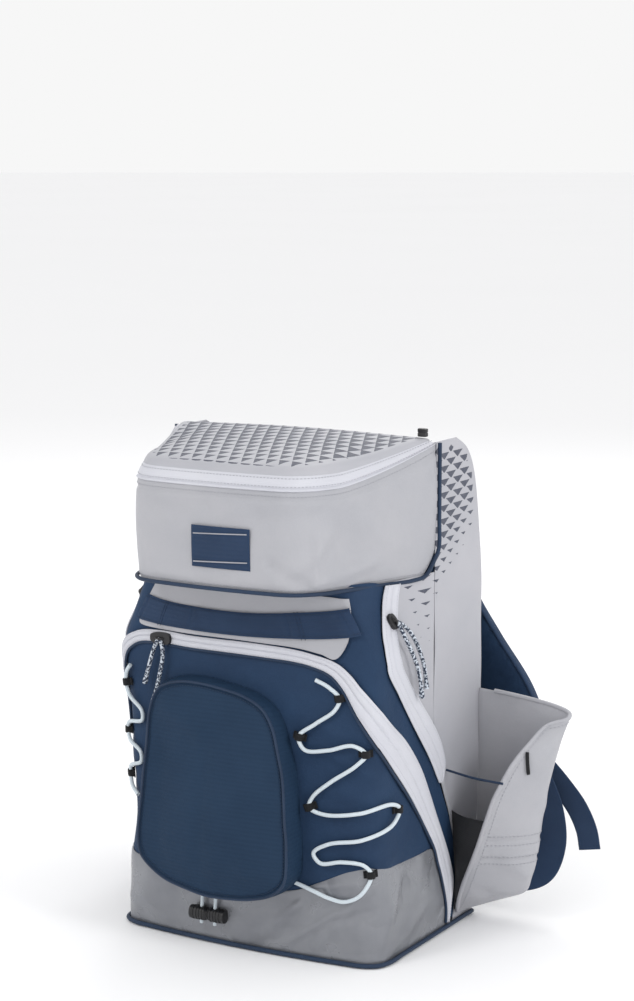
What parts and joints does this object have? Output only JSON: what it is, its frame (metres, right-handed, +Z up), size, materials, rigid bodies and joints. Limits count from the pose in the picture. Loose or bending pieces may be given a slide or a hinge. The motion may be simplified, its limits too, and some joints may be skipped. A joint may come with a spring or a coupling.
{
  "type": "baseball bat backpack",
  "caption": "Upright sports backpack with an open bat compartment at the back, a printed lid, a laced front pocket and flared side pockets, standing on its base",
  "frame": {"origin": "centre of the base on the floor", "axes": "+X to the bag's right as seen from the front, +Y towards the wearer's back, +Z up"},
  "size_m": [0.5336, 0.34, 0.5141],
  "materials": {
    "light_cloth": "coated woven cloth, light grey",
    "print_cloth": "light grey cloth with a fine printed triangle pattern",
    "navy_cloth": "woven navy cloth with a fine rib",
    "navy_webbing": "navy webbing",
    "silver_tarpaulin": "silver tarpaulin, slightly shiny",
    "zip_tape": "white zip tape",
    "navy_piping": "navy piping",
    "black_webbing": "black webbing",
    "white_cord": "white bungee cord",
    "speckled_cord": "navy cord with white flecks",
    "black_moulded": "moulded, satin black"
  },
  "bodies": {
    "root": {"back_panel": "light_cloth", "base_panel": "silver_tarpaulin", "bat_divider": "navy_cloth", "bat_side_left": "print_cloth", "bat_side_right": "print_cloth", "bottom_piping": "navy_piping", "cord_lock": "black_moulded", "cord_tab_left": "black_webbing", "cord_tab_right": "black_webbing", "front_panel": "navy_cloth", "front_pocket": "navy_cloth", "front_pocket_base": "silver_tarpaulin", "front_pocket_zip": "zip_tape", "front_strap": "navy_webbing", "haul_loop": "navy_webbing", "lace_loop_left_1": "black_webbing", "lace_loop_left_2": "black_webbing", "lace_loop_left_3": "black_webbing", "lace_loop_right_1": "black_webbing", "lace_loop_right_2": "black_webbing", "lace_loop_right_3": "black_webbing", "lace_loop_right_4": "black_webbing", "lace_loop_right_5": "black_webbing", "lace_loop_right_6": "black_webbing", "lacing_cord_left": "white_cord", "lacing_cord_right": "white_cord", "ladder_lock_left": "black_moulded", "ladder_lock_right": "black_moulded", "lid_floor": "light_cloth", "lid_front": "print_cloth", "lid_piping": "navy_piping", "lid_top": "print_cloth", "lid_zip": "zip_tape", "main_zip_left": "zip_tape", "main_zip_right": "zip_tape", "patch": "navy_webbing", "pocket_gusset_left": "black_webbing", "pocket_gusset_right": "black_webbing", "shoulder_strap_left": "navy_cloth", "shoulder_strap_right": "navy_cloth", "side_cord_left": "navy_piping", "side_cord_right": "navy_piping", "side_panel_left": "light_cloth", "side_panel_right": "light_cloth", "side_pocket_left": "light_cloth", "side_pocket_right": "light_cloth", "strap_tail_left": "navy_webbing", "strap_tail_right": "navy_webbing", "strap_webbing_left": "navy_webbing", "strap_webbing_right": "navy_webbing", "sub_pocket": "navy_cloth", "yoke_panel": "light_cloth", "zip_pull_front": "speckled_cord", "zip_pull_main_left": "speckled_cord", "zip_pull_main_right": "speckled_cord", "zip_slider_front": "black_moulded", "zip_slider_main_left": "black_moulded", "zip_slider_main_right": "black_moulded", "zip_tab": "black_moulded"}
  },
  "joints": []
}
